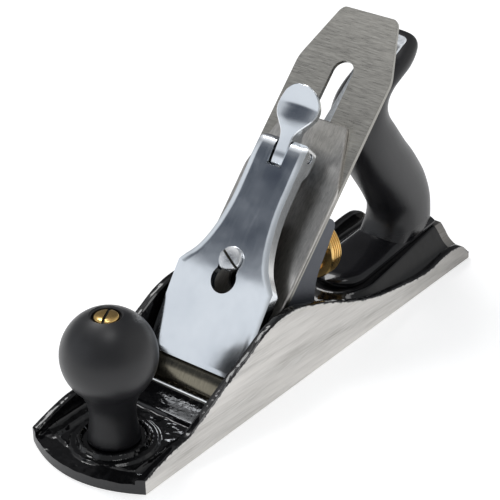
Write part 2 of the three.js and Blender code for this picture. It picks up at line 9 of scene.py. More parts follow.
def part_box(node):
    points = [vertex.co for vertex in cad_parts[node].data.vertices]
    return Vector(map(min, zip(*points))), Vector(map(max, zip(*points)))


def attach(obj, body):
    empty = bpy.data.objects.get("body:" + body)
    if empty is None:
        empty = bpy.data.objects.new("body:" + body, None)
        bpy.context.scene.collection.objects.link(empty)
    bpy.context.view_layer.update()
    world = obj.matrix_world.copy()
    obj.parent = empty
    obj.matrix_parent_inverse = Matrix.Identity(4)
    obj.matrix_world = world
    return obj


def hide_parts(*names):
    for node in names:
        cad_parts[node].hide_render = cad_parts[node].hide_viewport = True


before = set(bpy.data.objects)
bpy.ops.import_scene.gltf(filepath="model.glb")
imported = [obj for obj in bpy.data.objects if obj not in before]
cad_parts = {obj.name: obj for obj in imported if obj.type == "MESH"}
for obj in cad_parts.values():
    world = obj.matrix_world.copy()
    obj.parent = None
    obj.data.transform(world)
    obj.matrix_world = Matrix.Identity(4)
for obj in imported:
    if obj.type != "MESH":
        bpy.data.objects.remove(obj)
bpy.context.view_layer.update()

# A metal smoothing plane. Shapes are written in millimetres: +X to the toe, +Y to the left
# cheek, +Z up. Places on the bed are (t, y, h): t up the bed from the cutting edge, h above the
# iron. Every piece rides its CAD body.
MM = 0.001


def span(node, axis):
    """(low, high) of a CAD node along an axis, in millimetres."""
    low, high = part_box(node)
    return low[axis] / MM, high[axis] / MM


def middle(node, axis):
    return sum(span(node, axis)) / 2


# ---- sizes read from the frame ----
HEEL_X, TOE_X = span("body_casting", 0)
HALF_WIDTH = span("body_casting", 1)[1]
EDGE_X = span("iron", 0)[1]
IRON_HALF = span("iron", 1)[1]
KNOB_X = middle("front_knob", 0)
KNOB_BOTTOM, KNOB_TOP = span("front_knob", 2)
BALL_RADIUS = (span("front_knob", 0)[1] - span("front_knob", 0)[0]) / 2
WHEEL_Z = middle("depth_wheel", 2)
WHEEL_RADIUS = (span("depth_wheel", 2)[1] - span("depth_wheel", 2)[0]) / 2
WHEEL_BACK_X = span("depth_wheel", 0)[0]
SLOPE = math.sqrt(0.5)

# ---- places up the bed, and the tote's rod ----
KEYHOLE_T, SCREW_T = 51.5, 60.5
LATERAL_T = 89
CAM_RIVET_T, CAM_RIVET_H, CAM_RIVET_RADIUS = 113, 13.2, 2.2
TOTE_ROD_X, TOTE_ROD_Z, TOTE_ROD_LEAN = -104, 12, 20
FOOT_FRONT_X, FOOT_BACK_X, FOOT_HALF = -48.4, -119.0, 13.4

# ---- sizes of the casting ----
FLOOR_Z = 4.0
SEAT_Z = 12.0
SEAT_FLOOR_Z = 4.95
SEAT_BACK_X, SEAT_FRONT_X, SEAT_HALF = -2, 27, 20
RIDGE_X = 70.2
KNOB_SOCKET, KNOB_RING_INNER, KNOB_RING_OUTER, KNOB_PAD = 13.2, 13.8, 14.9, 17.9
TOE_CORNER_X = 112.8
CHEEK_INNER = 27.4
CHEEK_CROWN = [
    (TOE_CORNER_X, 6.9), (102, 10), (93, 11.9), (85.8, 12.6), (75.6, 17.2), (63.2, 23.3),
    (46.5, 30.6), (34.4, 36.3), (23.6, 38.5), (16.4, 38.5), (-1.4, 33), (-21.6, 24.4),
    (-34.7, 18.9), (-48.2, 14.8), (-61.9, 12.2), (-88.4, 8.9), (-102.9, 10.8), (-110, 10.8),
    (-117, 8.6), (HEEL_X, 3.2),
]
BOSS_FLANK = [(14, 14.7), (17, 10.9), (18.8, 8.2), (21.4, 5.8), (24.5, 4.4), (27, FLOOR_Z)]
BOSS_FRONT_X = -45.0
BOSS_TOP_FRONT, BOSS_TOP_HEEL = 8, 14.6
BOSS_RADIUS = 18.8
BOSS_SLOPE = (BOSS_TOP_HEEL - BOSS_TOP_FRONT) / (BOSS_FRONT_X - HEEL_X)
HEEL_LAND_X = -117.0


# ---------------------------------------------------------------- geometry helpers
def bed(t, y, h):
    """A point t up the bed from the cutting edge and h above the iron's top face."""
    return (EDGE_X + (h - t) * SLOPE, y, (t + h) * SLOPE)


def smooth_step(low, high, value):
    s = np.clip((value - low) / (high - low), 0, 1)
    return s * s * (3 - 2 * s)


def spline(points, value):
    """A smooth curve through (place, height) points, evaluated at value (Catmull-Rom slopes)."""
    points = sorted(points)
    px = np.array([p[0] for p in points], float)
    pz = np.array([p[1] for p in points], float)
    slope = np.gradient(pz, px)
    value = np.clip(value, px[0], px[-1])
    i = np.clip(np.searchsorted(px, value) - 1, 0, len(px) - 2)
    width = px[i + 1] - px[i]
    s = (value - px[i]) / width
    return ((2 * s**3 - 3 * s**2 + 1) * pz[i] + (s**3 - 2 * s**2 + s) * width * slope[i]
            + (3 * s**2 - 2 * s**3) * pz[i + 1] + (s**3 - s**2) * width * slope[i + 1])


def lumps(x, y, scale, seed=0.0):
    """Smooth noise from -1 to 1 over a plan position in millimetres."""
    return noise.noise(Vector((x / scale, y / scale, seed)))


def put(name, data):
    """A new object in the scene."""
    item = bpy.data.objects.new(name, data)
    bpy.context.scene.collection.objects.link(item)
    return item


def mesh_piece(name, verts, faces, material, body, stands_for, angle=32, tidy=True):
    """A piece in millimetres that rides a body and takes the given material; the CAD nodes it
    stands for are hidden.
    """
    mesh = bpy.data.meshes.new(name)
    mesh.from_pydata([tuple(c * MM for c in v) for v in verts], [], faces)
    if tidy:
        made = bmesh.new()
        made.from_mesh(mesh)
        bmesh.ops.remove_doubles(made, verts=made.verts, dist=1e-7)
        bmesh.ops.recalc_face_normals(made, faces=made.faces)
        bmesh.ops.triangulate(made, faces=[face for face in made.faces if len(face.verts) > 4])
        made.to_mesh(mesh)
        made.free()
    mesh.update()
    for look in material if isinstance(material, list) else [material]:
        mesh.materials.append(look)
    mesh.shade_smooth()
    mesh.set_sharp_from_angle(angle=math.radians(angle))
    piece = put(name, mesh)
    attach(piece, body)
    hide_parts(*stands_for)
    return piece


def loft(rings, capped=True):
    """Vertices and faces of a skin over rings that have equal numbers of points."""
    count = len(rings[0])
    verts = [p for ring in rings for p in ring]
    faces = []
    for i in range(len(rings) - 1):
        for j in range(count):
            k = (j + 1) % count
            faces.append((i * count + j, i * count + k, (i + 1) * count + k, (i + 1) * count + j))
    if capped:
        faces.append(tuple(reversed(range(count))))
        faces.append(tuple(range((len(rings) - 1) * count, len(rings) * count)))
    return verts, faces


def revolve(profile, place, count=64):
    """Turns a closed or axis-to-axis profile of (radius, height) about place's local z."""
    rings = []
    for radius, height in profile:
        rings.append([place(radius * math.cos(math.tau * j / count),
                            radius * math.sin(math.tau * j / count), height)
                      for j in range(count)])
    closed = profile[0] == profile[-1]
    return loft(rings, capped=not closed)


def arc(cx, cy, radius, start, end, steps=16):
    return [(cx + radius * math.cos(math.radians(start + (end - start) * i / steps)),
             cy + radius * math.sin(math.radians(start + (end - start) * i / steps)))
            for i in range(steps + 1)]


def slot_loop(x0, x1, half):
    return arc(x1, 0, half, -90, 90) + arc(x0, 0, half, 90, 270)


def mesh_from(solid):
    """A mesh from a closed (verts, faces) solid in millimetres."""
    verts, faces = solid
    mesh = bpy.data.meshes.new("solid")
    mesh.from_pydata([tuple(c * MM for c in v) for v in verts], [], faces)
    made = bmesh.new()
    made.from_mesh(mesh)
    bmesh.ops.recalc_face_normals(made, faces=made.faces)
    made.to_mesh(mesh)
    made.free()
    return mesh


def boolean(item, other, operation, material_mode="INDEX"):
    """The mesh that item becomes by a boolean with other."""
    modifier = item.modifiers.new("cut", "BOOLEAN")
    modifier.object = other
    modifier.operation = operation
    modifier.solver = "EXACT"
    modifier.material_mode = material_mode
    bpy.context.view_layer.update()
    evaluated = item.evaluated_get(bpy.context.evaluated_depsgraph_get())
    return bpy.data.meshes.new_from_object(evaluated)


def cut_out(piece, cutters, lining=None):
    """Subtracts closed (verts, faces) solids from a piece, for good; lining coats the cut."""
    for solid in cutters:
        mesh = mesh_from(solid)
        if lining:
            mesh.materials.append(lining)
        cutter = put("cutter", mesh)
        old = piece.data
        piece.data = boolean(piece, cutter, "DIFFERENCE", "TRANSFER" if lining else "INDEX")
        piece.modifiers.clear()
        bpy.data.meshes.remove(old)
        bpy.data.objects.remove(cutter)
        bpy.data.meshes.remove(mesh)


def soften(piece, width, segments=2, angle=35):
    """Rounds a piece's sharp edges."""
    modifier = piece.modifiers.new("edges", "BEVEL")
    modifier.width = width * MM
    modifier.segments = segments
    modifier.limit_method = "ANGLE"
    modifier.angle_limit = math.radians(angle)
    modifier.harden_normals = True


# ---------------------------------------------------------------- material helpers
class Look:
    """A procedural material on a Principled shader, in millimetre texture space."""

    def __init__(self, name, color, roughness, metallic=0.0, **sockets):
        self.material = bpy.data.materials.new(name)
        self.material.use_nodes = True
        self.nodes = self.material.node_tree.nodes
        self.links = self.material.node_tree.links
        self.shader = self.nodes["Principled BSDF"]
        self.shader.inputs["Base Color"].default_value = (*color, 1)
        self.shader.inputs["Roughness"].default_value = roughness
        self.shader.inputs["Metallic"].default_value = metallic
        for label, value in sockets.items():
            socket = label.replace("_", " ").title().replace("Ior", "IOR")
            self.shader.inputs[socket].default_value = value
        self.bumped = None

    def node(self, kind, **settings):
        made = self.nodes.new(kind)
        for label, value in settings.items():
            setattr(made, label, value)
        return made

    def place(self, scale=(1, 1, 1), turn=(0, 0, 0)):
        """Object coordinates in millimetres, turned and then stretched by scale."""
        source = self.node("ShaderNodeTexCoord")
        turned = self.node("ShaderNodeMapping")
        turned.inputs["Rotation"].default_value = [math.radians(a) for a in turn]
        stretched = self.node("ShaderNodeMapping")
        stretched.inputs["Scale"].default_value = [s / MM for s in scale]
        self.links.new(source.outputs["Object"], turned.inputs["Vector"])
        self.links.new(turned.outputs["Vector"], stretched.inputs["Vector"])
        return stretched.outputs["Vector"]

    def noise(self, scale, turn=(0, 0, 0), detail=4.0, rough=0.55, distortion=0.0):
        """Noise whose features are about 1/scale millimetres long, on each axis or on all."""
        made = self.node("ShaderNodeTexNoise")
        made.inputs["Scale"].default_value = 1.0
        made.inputs["Detail"].default_value = detail
        made.inputs["Roughness"].default_value = rough
        made.inputs["Distortion"].default_value = distortion
        scale = scale if isinstance(scale, tuple) else (scale,) * 3
        self.links.new(self.place(scale, turn), made.inputs["Vector"])
        return made.outputs["Fac"]

    def span(self, source, low, high, start=0.0, stop=1.0):
        """Maps start..stop to low..high."""
        made = self.node("ShaderNodeMapRange")
        made.inputs["From Min"].default_value = start
        made.inputs["From Max"].default_value = stop
        made.inputs["To Min"].default_value = low
        made.inputs["To Max"].default_value = high
        self.links.new(source, made.inputs["Value"])
        return made.outputs["Result"]

    def mix(self, factor, a, b):
        """Blends two colours or outputs; factor 0 is all a."""
        made = self.node("ShaderNodeMix", data_type="RGBA")
        for socket, value in ((made.inputs["Factor"], factor), (made.inputs["A"], a),
                              (made.inputs["B"], b)):
            if isinstance(value, bpy.types.NodeSocket):
                self.links.new(value, socket)
            elif isinstance(value, tuple):
                socket.default_value = (*value, 1)
            else:
                socket.default_value = value
        return made.outputs["Result"]

    def math(self, operation, a, b=0.0):
        made = self.node("ShaderNodeMath", operation=operation)
        for socket, value in zip(made.inputs, (a, b)):
            if isinstance(value, bpy.types.NodeSocket):
                self.links.new(value, socket)
            else:
                socket.default_value = value
        return made.outputs["Value"]

    def color(self, source):
        self.links.new(source, self.shader.inputs["Base Color"])

    def tint(self, source, dark, light, start=0.0, stop=1.0):
        """Colours from dark to light as source goes from start to stop."""
        self.color(self.mix(self.span(source, 0, 1, start, stop), dark, light))

    def rough(self, source):
        self.links.new(source, self.shader.inputs["Roughness"])

    def metal(self, source):
        self.links.new(source, self.shader.inputs["Metallic"])

    def bump(self, source, height, strength=1.0):
        """Adds relief of height millimetres; later calls stack on earlier ones."""
        made = self.node("ShaderNodeBump")
        made.inputs["Distance"].default_value = height * MM
        made.inputs["Strength"].default_value = strength
        self.links.new(source, made.inputs["Height"])
        if self.bumped:
            self.links.new(self.bumped, made.inputs["Normal"])
        self.bumped = made.outputs["Normal"]
        self.links.new(self.bumped, self.shader.inputs["Normal"])


# ---------------------------------------------------------------- materials
def ground_iron():
    """Machined cast iron: warm grey, with grinding lines that lie a little off the length."""
    look = Look("ground_iron", (0.5, 0.485, 0.46), 0.36, 1.0)
    lines = look.noise((0.03, 1, 1.7), turn=(0, 3, 0), detail=5, rough=0.75)
    crossed = look.noise((0.04, 1, 0.9), turn=(0, -7, 0), detail=5, rough=0.75)
    broad = look.noise((0.012, 0.2, 0.14), turn=(0, 5, 0), detail=3)
    patches = look.noise(0.05, detail=3)
    tint = look.mix(look.span(lines, 0, 1, 0.34, 0.66), (0.38, 0.365, 0.345), (0.68, 0.67, 0.65))
    tint = look.mix(look.span(crossed, 0, 0.6, 0.5, 0.7), tint, (0.3, 0.285, 0.265))
    tint = look.mix(look.span(broad, 0, 0.8, 0.42, 0.66), tint, (0.68, 0.66, 0.635))
    parts = look.node("ShaderNodeSeparateXYZ")
    look.links.new(look.place(), parts.inputs["Vector"])
    # Darker towards the heel, with a ragged front: painted shade standing in for the darker
    # reflection of the cheek at the heel.
    drift = look.math("ADD", parts.outputs["X"], look.span(patches, -22, 22))
    heel_shade = look.mix(look.span(drift, 0.75, 0.0, HEEL_X, -62), tint, (0.15, 0.142, 0.132))
    fringe = look.node("ShaderNodeAttribute", attribute_name="below_crown").outputs["Fac"]
    ragged = look.span(look.noise(0.6, detail=5, rough=0.7), -1.6, 2.2)
    black = look.math("LESS_THAN", fringe, ragged)
    look.color(look.mix(black, heel_shade, (0.01, 0.01, 0.01)))
    look.metal(look.math("SUBTRACT", 1.0, black))
    sheen = look.span(lines, 0.24, 0.46, 0.3, 0.7)
    look.rough(look.math("ADD", sheen, look.span(patches, -0.04, 0.06)))
    look.bump(lines, 0.05, 0.5)
    look.bump(crossed, 0.04, 0.3)
    return look.material


def japanning():
    """Thick gloss black paint over rough casting."""
    look = Look("japanning", (0.003, 0.003, 0.0035), 0.1, 0.0, specular_ior_level=0.5)
    grain = look.noise(0.5, detail=2)
    waves = look.noise(0.16, detail=2, distortion=0.5)
    pits = look.noise(1.6, detail=2)
    look.color(look.mix(look.span(waves, 0, 0.6), (0.002, 0.002, 0.0024), (0.006, 0.006, 0.007)))
    look.rough(look.span(grain, 0.04, 0.16, 0.3, 0.7))
    look.bump(waves, 1.0, 0.24)
    look.bump(grain, 0.1, 0.14)
    look.bump(pits, 0.01, 0.1)
    return look.material


def toe_paint():
    """Duller black on the toe's front edge."""
    look = Look("toe_paint", (0.03, 0.03, 0.032), 0.4)
    grain = look.noise(0.8, detail=5)
    look.tint(grain, (0.006, 0.006, 0.007), (0.02, 0.02, 0.022))
    look.rough(look.span(grain, 0.28, 0.5))
    look.bump(grain, 0.15, 0.5)
    return look.material


def satin_plastic(name="satin_plastic", gloss_below=None):
    """Moulded black plastic, glossier near its foot where gloss_below is given."""
    look = Look(name, (0.022, 0.022, 0.025), 0.42, 0.0, specular_ior_level=0.5)
    fine = look.noise(3.2, detail=4)
    cloud = look.noise(0.06, detail=4)
    scuffs = look.noise((0.15, 0.15, 2.2), turn=(0, 25, 0), detail=6, rough=0.7)
    shade = look.span(cloud, 0.1, 0.9)
    look.color(look.mix(shade, (0.0045, 0.0045, 0.0055), (0.013, 0.013, 0.0155)))
    rough = look.math("ADD", look.span(cloud, 0.3, 0.42), look.span(scuffs, -0.05, 0.06))
    if gloss_below:
        low, high = gloss_below
        parts = look.node("ShaderNodeSeparateXYZ")
        look.links.new(look.place(), parts.inputs["Vector"])
        wavy = look.math("ADD", parts.outputs["Z"], look.span(cloud, -2.5, 2.5))
        dull = look.node("ShaderNodeMapRange", interpolation_type="SMOOTHSTEP")
        dull.inputs["From Min"].default_value = low
        dull.inputs["From Max"].default_value = high
        look.links.new(wavy, dull.inputs["Value"])
        rough = look.math("MULTIPLY", rough, look.span(dull.outputs["Result"], 0.4, 1.0))
    look.rough(rough)
    look.bump(fine, 0.02, 0.35)
    look.bump(cloud, 0.5, 0.12)
    return look.material


def frog_paint():
    """Thin blue-grey paint on the frog casting."""
    look = Look("frog_paint", (0.1, 0.11, 0.135), 0.45, 0.25)
    grain = look.noise(1.1, detail=5, rough=0.65)
    cloud = look.noise(0.1, detail=3)
    look.tint(cloud, (0.045, 0.05, 0.062), (0.085, 0.092, 0.112))
    look.rough(look.span(grain, 0.34, 0.55))
    look.bump(grain, 0.12, 0.6)
    return look.material


def brushed_steel(name, tint, across, turn, rough=(0.24, 0.42), depth=0.02):
    """Ground steel with fine lines; across gives the noise scale along each bed axis."""
    look = Look(name, tint, sum(rough) / 2, 1.0)
    lines = look.noise(across, turn=turn, detail=7, rough=0.75)
    smear = look.noise(tuple(0.12 * a + 0.02 for a in across), turn=turn, detail=3)
    cloud = look.noise(0.04, detail=3)
    dark = tuple(c * 0.74 for c in tint)
    light = tuple(min(1, c * 1.24) for c in tint)
    look.tint(lines, dark, light, 0.32, 0.68)
    base = look.span(lines, rough[0], rough[1], 0.32, 0.68)
    look.rough(look.math("ADD", base, look.span(look.mix(0.5, smear, cloud), -0.05, 0.07)))
    look.bump(lines, depth, 0.5)
    look.bump(smear, depth * 2, 0.2)
    return look.material


def chrome():
    """Bright plating over a polished casting, with the casting's slow waves showing through."""
    look = Look("chrome", (0.84, 0.87, 0.9), 0.09, 1.0)
    waves = look.noise(0.06, detail=2)
    hair = look.noise((0.04, 1.0, 0.04), turn=(0, -45, 0), detail=3)
    haze = look.noise(0.05, detail=4, rough=0.55)
    look.tint(haze, (0.82, 0.85, 0.88), (0.75, 0.785, 0.825), 0.35, 0.7)
    sheen = look.span(haze, 0.1, 0.19, 0.3, 0.7)
    look.rough(look.math("ADD", sheen, look.span(hair, -0.02, 0.02)))
    look.bump(waves, 0.6, 0.16)
    look.bump(hair, 0.01, 0.25)
    return look.material


def zinc():
    """Dull bright zinc on the lateral lever."""
    look = Look("zinc", (0.6, 0.63, 0.66), 0.42, 0.55)
    spangle = look.noise(0.6, detail=4)
    rub = look.noise((0.06, 1.4, 0.06), turn=(0, -45, 0), detail=5)
    look.tint(spangle, (0.55, 0.58, 0.61), (0.72, 0.75, 0.79), 0.35, 0.65)
    look.rough(look.span(rub, 0.32, 0.5, 0.3, 0.7))
    look.bump(rub, 0.02, 0.4)
    return look.material


def machined():
    """The dull milled floor round the frog's seat."""
    look = Look("machined", (0.4, 0.4, 0.4), 0.5, 0.3)
    mill = look.noise((0.05, 1.2, 1.2), detail=4)
    look.tint(mill, (0.5, 0.5, 0.505), (0.78, 0.78, 0.78), 0.3, 0.7)
    look.rough(look.span(mill, 0.38, 0.55, 0.3, 0.7))
    look.bump(mill, 0.05, 0.4)
    return look.material


def rough_cast_and_shade():
    """The unpolished hollow underside of the lever cap, also used as painted shade lining the
    screwdriver slots and the cap's front wall.
    """
    look = Look("rough_cast_and_shade", (0.05, 0.047, 0.04), 0.6, 0.7)
    grain = look.noise(1.1, detail=5, rough=0.65)
    look.tint(grain, (0.03, 0.028, 0.022), (0.09, 0.085, 0.07), 0.3, 0.7)
    look.rough(look.span(grain, 0.5, 0.7))
    look.bump(grain, 0.15, 0.5)
    return look.material


def turned_steel():
    """Zinc-bright screws and pins."""
    look = Look("turned_steel", (0.66, 0.67, 0.69), 0.24, 1.0)
    grain = look.noise(1.6, detail=5)
    cloud = look.noise(0.3, detail=3)
    look.tint(cloud, (0.6, 0.61, 0.63), (0.76, 0.77, 0.78))
    look.rough(look.span(grain, 0.16, 0.34))
    look.bump(grain, 0.02, 0.4)
    return look.material


def brass():
    """Turned brass with fine tool lines."""
    look = Look("brass", (0.83, 0.55, 0.2), 0.22, 1.0)
    grain = look.noise(2, detail=5)
    cloud = look.noise(0.25, detail=4)
    look.tint(cloud, (0.72, 0.45, 0.15), (0.9, 0.63, 0.26))
    look.rough(look.span(grain, 0.14, 0.32))
    look.bump(grain, 0.015, 0.4)
    return look.material


LOOKS = {
    "ground": ground_iron(),
    "japan": japanning(),
    "toe": toe_paint(),
    "plastic": satin_plastic(),
    "tote": satin_plastic("tote_plastic", gloss_below=(15, 21)),
    "frog": frog_paint(),
    "iron": brushed_steel("iron_steel", (0.33, 0.32, 0.295), (2.6, 0.16, 2.6), (0, -45, 0)),
    "cap_iron": brushed_steel("cap_iron_steel", (0.46, 0.445, 0.425), (0.3, 1.9, 0.3),
                              (0, -45, 0), rough=(0.26, 0.4)),
    "strip": zinc(),
    "rough_cast_and_shade": rough_cast_and_shade(),
    # A darker, browner copy of the cap iron's steel: painted shade on the hump under the lever
    # cap.
    "hump_shade": brushed_steel("hump_shade_steel", (0.25, 0.225, 0.17), (0.2, 2.2, 0.2), (0, -45, 0),
                          (0.1, 0.2)),
    "machined": machined(),
    "chrome": chrome(),
    "screw": turned_steel(),
    "brass": brass(),
}


# ---------------------------------------------------------------- body casting
def crown_height(x):
    return spline(CHEEK_CROWN, x)


def boss_height(x, y):
    """Top of the boss under the tote, which is rounded at its front end."""
    centre_x = BOSS_FRONT_X - BOSS_RADIUS
    out = np.hypot(np.maximum(x - centre_x, 0), y)
    flank = spline(BOSS_FLANK, out)
    top = BOSS_TOP_FRONT + (BOSS_FRONT_X - x) * BOSS_SLOPE
    soft = 0.6
    return np.minimum(flank, top) - soft * np.exp(-np.abs(flank - top) / soft) * 0.3


def toe_front(y):
    """X of the bowed toe edge."""
    return TOE_X - (TOE_X - TOE_CORNER_X) * (y / HALF_WIDTH) ** 2


def floor_height(x, y, seed_lumps):
    """Inside surface of the casting between the cheeks."""
    z = np.full_like(x, FLOOR_Z)
    z += 1.3 * smooth_step(1.6, 0.7, np.abs(x - RIDGE_X))
    knob = np.hypot(x - KNOB_X, y)
    z += 1.1 * smooth_step(KNOB_PAD + 1.3, KNOB_PAD, knob)
    ring = smooth_step(KNOB_RING_OUTER + 0.8, KNOB_RING_OUTER, knob)
    z += 1.9 * ring * smooth_step(KNOB_SOCKET, KNOB_RING_INNER, knob)
    z = np.where(knob < KNOB_SOCKET, KNOB_BOTTOM - 0.3, z)
    inset = toe_front(y) - x
    side = HALF_WIDTH - np.abs(y)
    border = np.minimum(inset, side)
    ahead = smooth_step(71, 74, x)
    z += ahead * 1.3 * np.exp(-((border - 9.5) / 1.0) ** 2) * smooth_step(18, 20, knob)
    z += ahead * 0.5 * smooth_step(9, 7.5, inset)
    z += seed_lumps * 0.42 * ahead * smooth_step(19, 21, knob)
    boss = boss_height(x, y)
    z = np.where(x < BOSS_FRONT_X + 9, np.maximum(z, boss), z)
    seat = (x > SEAT_BACK_X) & (x < SEAT_FRONT_X) & (np.abs(y) < SEAT_HALF)
    z = np.where(seat, SEAT_Z, z)
    pad = (x >= SEAT_FRONT_X) & (x < 44) & (np.abs(y) < SEAT_HALF)
    z = np.where(pad, SEAT_FLOOR_Z, z)
    near_frog = (x > SEAT_BACK_X - 10) & (x < 45)
    return np.where(near_frog & ~seat, np.minimum(z, SEAT_FLOOR_Z), z)


def casting_grid():
    """Plan positions of the grid, with lines kept on the mouth and seat edges."""
    xs = np.unique(np.round(np.concatenate([
        np.arange(HEEL_X, HEEL_LAND_X - 0.3, 0.7), [HEEL_LAND_X - 0.3, HEEL_LAND_X + 0.3],
        np.arange(HEEL_LAND_X + 1, -2.6, 1.0), [-2.05, -1.95], np.arange(-1, 26.5, 2.0),
        [26.95, 27.05], np.arange(28, 66, 1.0), np.arange(66, TOE_X - 0.4, 0.55),
        [TOE_X - 0.35, TOE_X]]), 3))
    half = np.concatenate([
        np.arange(0, 25.2, 0.6), [25.5, 25.9, 26.3, 26.6, 26.85, 27.05, 27.2, 27.3, 27.38, 27.42],
        [27.6, 27.9, 28.4, 29.2, 30.1, 30.6, 30.85, HALF_WIDTH]])
    ys = np.concatenate([-half[:0:-1], half])
    return xs, ys


def casting_top(xs, ys):
    """Grid of the casting's upper surface."""
    gx, gy = np.meshgrid(xs, ys, indexing="ij")
    stretch = (toe_front(gy) - 90) / (TOE_X - 90)
    px = np.where(gx > 90, 90 + (gx - 90) * stretch, gx)
    seeded = np.array([lumps(a, b, 4.6) + 0.4 * lumps(a, b, 2.1, 7)
                       for a, b in zip(px.ravel(), gy.ravel())]).reshape(px.shape)
    crown = np.maximum(crown_height(px), 0)
    z = floor_height(px, gy, seeded)
    inner = CHEEK_INNER - np.abs(gy)
    fillet = np.minimum(2.4, np.maximum(crown - FLOOR_Z, 0.2))
    lift = fillet - np.sqrt(np.maximum(fillet**2 - np.maximum(fillet - inner, 0) ** 2, 0))
    open_toe = smooth_step(toe_front(gy) - 0.2, toe_front(gy) - 5, px)
    z = np.maximum(z, np.where(inner < fillet, FLOOR_Z + lift * open_toe, z))
    land = px < HEEL_LAND_X
    land_z = np.maximum(spline(BOSS_FLANK, np.abs(gy)), 4.8)
    land_top = np.minimum(land_z, 14.0)
    z = np.where(land, land_top, z)
    wall = inner < 0
    ragged = 0.22 * seeded * smooth_step(0, 2, crown - FLOOR_Z)
    edge_drop = 0.35 * smooth_step(HALF_WIDTH - 0.6, HALF_WIDTH, np.abs(gy))
    inner_drop = 0.5 * smooth_step(-0.9, 0.0, inner)
    cheek = crown - edge_drop - inner_drop + ragged * (np.abs(gy) < HALF_WIDTH - 0.3)
    z = np.where(wall, np.maximum(cheek, np.where(land, 3.2, 3.6)), z)
    return px, gy, z


GROUND, PAINTED, TOE, MILLED = range(4)


def body_casting():
    """The casting: a height grid over the plan, closed by its rim and a flat sole."""
    xs, ys = casting_grid()
    px, py, pz = casting_top(xs, ys)
    nx, ny = px.shape
    verts = list(zip(px.ravel(), py.ravel(), pz.ravel()))
    faces = []
    slots = []
    for i in range(nx - 1):
        land = xs[i] < HEEL_LAND_X - 0.5
        for j in range(ny - 1):
            a = i * ny + j
            faces.append((a, a + ny, a + ny + 1, a + 1))
            x, y = xs[i], abs(ys[j])
            milled = -42 < x < 45 and y < CHEEK_INNER - 0.8 and math.hypot(x + 63.8, y) > 29
            slots.append(GROUND if land else MILLED if milled else PAINTED)
    rim = ([i * ny for i in range(nx)] + [(nx - 1) * ny + j for j in range(1, ny)]
           + [i * ny + ny - 1 for i in range(nx - 2, -1, -1)] + [j for j in range(ny - 2, 0, -1)])
    base = len(verts)
    verts += [(verts[k][0], verts[k][1], 0.0) for k in rim]
    for n, k in enumerate(rim):
        m = (n + 1) % len(rim)
        faces.append((k, base + n, base + m, rim[m]))
        on_toe = verts[k][0] > toe_front(verts[k][1]) - 0.01 and abs(verts[k][1]) < HALF_WIDTH
        slots.append(TOE if on_toe else GROUND)
    faces.append(tuple(range(base, len(verts))))
    slots.append(GROUND)
    looks = [LOOKS[name] for name in ("ground", "japan", "toe", "machined")]
    piece = mesh_piece("casting_body", verts, faces, looks, "plane_body", ["body_casting"],
                       angle=40, tidy=False)
    gap = piece.data.attributes.new("below_crown", "FLOAT", "POINT")
    values = np.full(len(verts), 50.0)
    values[base:] = [verts[k][2] for k in rim]
    values[rim] = 0.0
    gap.data.foreach_set("value", values.astype(np.float32))
    piece.data.polygons.foreach_set("material_index", np.array(slots, np.int32))
    cut_out(piece, [mouth_cutter(), drill(upright(KNOB_X), 1.4, 9, 3.2)])


def mouth_cutter():
    """The mouth: its back leans with the bed, and its front opens above the sole."""
    side = [(47.3, -1), (53.2, -1), (53.2, 1.2), (56.5, 9), (37.3, 9)]
    return loft([[(x, y, z) for x, z in side] for y in (-27.2, 27.2)])


# ---------------------------------------------------------------- knob, tote and their nuts
def upright(x):
    """Axes of a piece turned about the vertical through (x, 0)."""
    return lambda a, b, c: (x + a, b, c)


def drill(place, low, high, radius, count=24):
    """A cutter: a cylinder along place's local z."""
    return revolve([(0, low), (radius, low), (radius, high), (0, high)], place, count)


def front_knob():
    ball_z = KNOB_TOP - math.sqrt(BALL_RADIUS**2 - 7.2**2)
    low = math.asin((ball_z - 31) / BALL_RADIUS)
    high = math.acos(7.0 / BALL_RADIUS)
    ball = [(BALL_RADIUS * math.cos(-low + (high + low) * i / 26),
             ball_z + BALL_RADIUS * math.sin(-low + (high + low) * i / 26)) for i in range(27)]
    neck = [(11.2, KNOB_BOTTOM + 0.5), (11.1, 8), (10.35, 11), (9.85, 14.5), (9.7, 18),
            (9.85, 21.5), (10.6, 25), (12, 28.2)]
    profile = [(3.3, KNOB_BOTTOM), (10.7, KNOB_BOTTOM), *neck, *ball,
               (6.5, KNOB_TOP - 0.15), (6.1, KNOB_TOP - 0.6), (6.0, 62), (4.4, 62), (4.4, 48),
               (3.3, 48), (3.3, KNOB_BOTTOM)]
    verts, faces = revolve(profile, upright(KNOB_X), 96)
    mesh_piece("knob_ball", verts, faces, LOOKS["plastic"], "plane_body", ["front_knob"])


def driver_slot(place, turn, reach, half, low, high):
    """A cutter for a screwdriver slot, turned by degrees about place's local z."""
    cos, sin = math.cos(math.radians(turn)), math.sin(math.radians(turn))
    corners = [(-reach, -half), (reach, -half), (reach, half), (-reach, half)]
    return loft([[place(x * cos - y * sin, x * sin + y * cos, z) for x, y in corners]
                 for z in (low, high)])


def slotted_nut(name, place, low, high, node, body, turn):
    """A low domed brass nut with a screwdriver slot; its barrel stays below it."""
    head = [(0, high), (2.6, high - 0.06), (4.3, high - 0.3), (5.05, high - 0.75),
            (5.3, high - 1.2), (5.3, low), (4.0, low), (4.0, low - 11.5), (3.2, low - 11.5),
            (3.2, low - 2.5), (0, low - 2.5)]
    verts, faces = revolve(head, place, 48)
    piece = mesh_piece(name, verts, faces, LOOKS["brass"], body, [node])
    slot = driver_slot(place, turn, 7, 0.6, high - 1.3, high + 1)
    # The slot is lined with the dark rough-cast finish: painted shade in the recess.
    cut_out(piece, [slot], LOOKS["rough_cast_and_shade"])
    soften(piece, 0.12)


